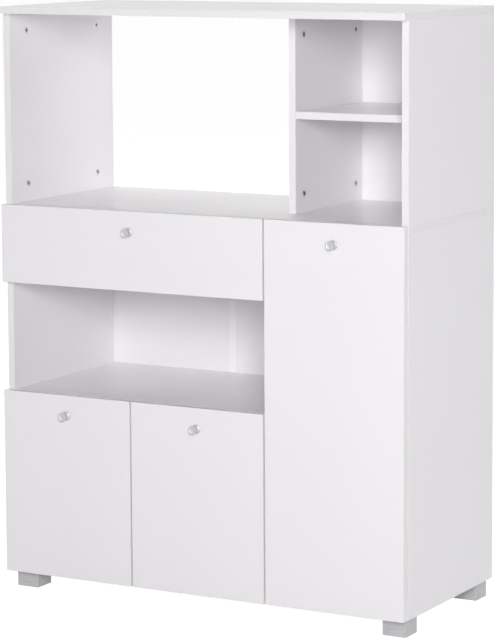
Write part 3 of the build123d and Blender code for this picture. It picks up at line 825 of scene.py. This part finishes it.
def board_end(hole):
    """The direction from a cam to the nearest end of its board, which its bolt enters."""
    low, high = board_boxes[hole["board"]]
    mouth = hole["mouth"]
    lengthwise = max((0, 2), key=lambda i: high[i] - low[i])
    to_high = high[lengthwise] - mouth[lengthwise]
    to_low = mouth[lengthwise] - low[lengthwise]
    toward = Vector((0, 0, 0))
    toward[lengthwise] = 1 if to_high < to_low else -1
    return toward


print("one cam has", len(cast_cam().faces), "faces")

# %% Put a cam in every hole
def copy_to_all(shape, places):
    """Copy one shape to many places and join the copies."""
    mesh = bpy.data.meshes.new("one_of_many")
    shape.to_mesh(mesh)
    shape.free()
    many = bmesh.new()
    for place in places:
        before = len(many.verts)
        many.from_mesh(mesh)
        many.verts.ensure_lookup_table()
        bmesh.ops.transform(many, matrix=place, verts=many.verts[before:])
    bpy.data.meshes.remove(mesh)
    return many


TIGHTENED = math.radians(-125)
SUNK = 0.05 * MM
cam_places = []
for hole in cam_holes:
    up = -hole["into"]
    toward = board_end(hole)
    axes = Matrix((toward, up.cross(toward), up)).transposed().to_4x4()
    turned_in = Matrix.Translation(hole["mouth"] + hole["into"] * SUNK) @ axes
    cam_places.append(turned_in @ Matrix.Rotation(TIGHTENED, 4, "Z"))
all_cams = copy_to_all(cast_cam(), cam_places)
metals = [DIE_CAST, CAST_RECESS_PAINTED_SHADE]
cams = finish_piece(all_cams, "cam_locks_cast", "cam_locks", metals, sharp=40)
print(cams.name, "cams:", len(cam_places), "faces:", len(cams.data.polygons))

# %% [markdown]
# ## Screws
# The fittings are held by pan head screws with a cross recess, and only the heads show.
# For each node one screw is turned and its recess is cut, and copies of it go where the
# node's solids are. The head is at the wider end of each solid.

# %% Turn the screws
# Head radius, head height, shank radius and shank length, in millimetres
SHORT_SCREW = (3.25, 1.6, 1.7, 12.9)
KNOB_SCREW = (4.0, 2.4, 1.95, 24.9)
# The rounded head, as shares of its radius and of its height
PAN_HEAD = ((0, 1), (0.45, 0.97), (0.8, 0.75), (0.97, 0.35), (1, 0))
SCREW_STEPS = 20
# The recess's bars, as shares of the head's radius and of its height
BAR_WIDTH, BAR_DEPTH = 0.22, 0.55
# A point is near a screw's end within this share of half the length
END_SHARE = 0.1


def turned_screw(head_radius, head_height, shank_radius, shank_length):
    """Model one screw along -Z, with the underside of its head at the origin."""
    profile = [(head_radius * r, head_height * h) for r, h in PAN_HEAD]
    profile += [
        (shank_radius, 0), (shank_radius, -shank_length + shank_radius), (0, -shank_length),
    ]
    bm = turned(profile, Vector((0, 0, 0)), Vector((0, 0, 1)), SCREW_STEPS)
    radius, height = head_radius * MM, head_height * MM
    return cut_cross(bm, height, radius, radius * BAR_WIDTH, height * BAR_DEPTH)


def screw_place(points):
    """Where a screw's head sits and which way it looks, from the solid's points."""
    low, high = corners(points)
    axis = max(range(3), key=lambda i: high[i] - low[i])
    middle = (low + high) / 2
    half = (high[axis] - low[axis]) / 2

    def width_near(end):
        near = [p - middle for p in points if abs(p[axis] - end) < half * END_SHARE]
        for offset in near:
            offset[axis] = 0
        return max((offset.length for offset in near), default=0)

    head_up = 1 if width_near(high[axis]) > width_near(low[axis]) else -1
    up = Vector((0, 0, 0))
    up[axis] = head_up
    head_end = middle.copy()
    head_end[axis] = high[axis] if head_up > 0 else low[axis]
    return head_end, up


screw_sizes = {"carcass_screws": SHORT_SCREW, "drawer_screws": SHORT_SCREW}
screw_sizes.update({"knob_screw_" + front: KNOB_SCREW for front in FRONTS})
for node, size in screw_sizes.items():
    head_height = size[1] * MM
    places = []
    for points in loose_parts(node):
        head_end, up = screw_place(points)
        turn = Vector((0, 0, 1)).rotation_difference(up).to_matrix().to_4x4()
        places.append(Matrix.Translation(head_end - up * head_height) @ turn)
    screws = copy_to_all(turned_screw(*size), places)
    piece = finish_piece(screws, node + "_turned", node, [ZINC], sharp=40)
    print(piece.name, "screws:", len(places), "faces:", len(piece.data.polygons))

# %% [markdown]
# ## Rollers
# The drawer runs on four nylon rollers with a slightly rounded tread and a raised hub.
# Each one is spun round its own axle.

# %% Turn the rollers
# Closed half profile, as radius and distance from the inner face, in millimetres
ROLLER_PROFILE = [
    (2.05, 0.3), (4.2, 0.3), (4.6, 0.8), (8.0, 0.8), (8.6, 0.2), (9.4, 0.2), (9.9, 0.9),
    (10.0, 3.0), (9.9, 5.1), (9.4, 5.8), (8.6, 5.8), (8.0, 5.2), (4.6, 5.2), (4.2, 5.7),
    (2.05, 5.7), (2.05, 0.3),
]
for place in FOUR_PLACES:
    node = "roller_" + place
    low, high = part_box(node)
    hub = Vector((low.x, (low.y + high.y) / 2, (low.z + high.z) / 2))
    shape = turned(ROLLER_PROFILE, hub, Vector((1, 0, 0)))
    roller = finish_piece(shape, node + "_turned", node, [NYLON], sharp=35)
    print(roller.name, "faces:", len(roller.data.polygons))

# %% [markdown]
# ## Studio floor
# The photograph is a cut-out on white. The floor here is a wide disc of plain white
# paper. For the camera and for mirror-like rays, most of its light is its own glow, so
# the ground shows white, also in the knobs, and the cabinet still leaves a faint
# shadow on it. Every other ray sees honest paper.

# %% Lay the floor
FLOOR_RADIUS = 40


def seen_directly(tree):
    """Give 1 to camera, mirror-like and see-through rays, and 0 to all others."""
    rays = add(tree, "ShaderNodeLightPath")[0].outputs
    mirrored = add(tree, "ShaderNodeMath", {
        0: rays["Is Glossy Ray"], 1: rays["Is Transmission Ray"],
    }, operation="MAXIMUM")[1]
    return add(tree, "ShaderNodeMath", {
        0: rays["Is Camera Ray"], 1: mirrored,
    }, operation="MAXIMUM")[1]


bm = bmesh.new()
bmesh.ops.create_circle(bm, cap_ends=True, segments=64, radius=FLOOR_RADIUS)
floor_mesh = bpy.data.meshes.new("studio_floor")
bm.to_mesh(floor_mesh)
bm.free()
floor = bpy.data.objects.new("studio_floor", floor_mesh)
bpy.context.scene.collection.objects.link(floor)

floor_material = bpy.data.materials.new("studio_paper")
floor_material.use_nodes = True
tree = floor_material.node_tree
tree.nodes.clear()
paper = add(tree, "ShaderNodeBsdfDiffuse", {"Color": linear("#d4d4d4")})[1]
faint_paper = add(tree, "ShaderNodeBsdfDiffuse", {"Color": linear("#8c8c8c")})[1]
glow = add(tree, "ShaderNodeEmission", {"Strength": 0.97})[1]
glowing_paper = add(tree, "ShaderNodeAddShader", {0: faint_paper, 1: glow})[1]
seen = add(tree, "ShaderNodeMixShader", {0: seen_directly(tree), 1: paper, 2: glowing_paper})[1]
add(tree, "ShaderNodeOutputMaterial", {"Surface": seen})
floor_mesh.materials.append(floor_material)
print("floor radius", FLOOR_RADIUS, "m")

# %% [markdown]
# ## Studio light
# The light is soft and comes from all round: the fronts and the right side are nearly
# equally light, the backs of the cubbies are bright, and only the roof of the niche
# throws a shade on the back sheet. Large square lamps stand nine metres away, so the
# light hardly falls off across the cabinet. A smaller one high behind the camera does
# most of the work, and a near one at the height of the cubbies reaches to their backs,
# while the niche lies too low for it. One from above lights the tops, and three round
# the back keep the other sides light. The world adds a weak fill. Its backdrop is white
# for the camera and for mirror-like rays, so that metal reflects white paper.

# %% Set the world
world = bpy.data.worlds.new("studio_world")
bpy.context.scene.world = world
world.use_nodes = True
tree = world.node_tree
tree.nodes.clear()
fill = add(tree, "ShaderNodeBackground", {"Color": (1, 1, 1, 1), "Strength": 0.06})[1]
backdrop = add(tree, "ShaderNodeBackground", {"Color": (1, 1, 1, 1), "Strength": 1.0})[1]
add(tree, "ShaderNodeOutputWorld", {
    "Surface": add(tree, "ShaderNodeMixShader", {0: seen_directly(tree), 1: fill, 2: backdrop})[1],
})

# %% Place the lamps
MIDDLE = Vector((0, 0, 0.75))
LAMP_DISTANCE = 9
LAMP_SIZE = 3.5


def soft_lamp(name, azimuth, elevation, watts, distance=LAMP_DISTANCE, size=LAMP_SIZE):
    """Aim a square lamp at the cabinet; azimuth 0 is straight in front, 90 on the right."""
    light = bpy.data.lights.new(name, "AREA")
    light.size = size
    light.energy = watts
    lamp = bpy.data.objects.new(name, light)
    around, above = math.radians(azimuth), math.radians(elevation)
    away = Vector((
        math.sin(around) * math.cos(above), -math.cos(around) * math.cos(above), math.sin(above),
    ))
    lamp.location = MIDDLE + away * distance
    lamp.rotation_euler = away.to_track_quat("Z", "Y").to_euler()
    bpy.context.scene.collection.objects.link(lamp)
    print(name, watts, "W")


soft_lamp("key_front_right", 34, 24, 46)
soft_lamp("front_left", -30, 20, 74)
soft_lamp("behind_the_camera", 29, 14, 320, size=2)
soft_lamp("at_the_cubbies", 29, 8, 27, distance=3.6, size=0.9)
soft_lamp("overhead", 180, 80, 120)
soft_lamp("rear_right", 108, 10, 152)
soft_lamp("rear_high", 160, 30, 100)
soft_lamp("rear_left", -125, 18, 290)
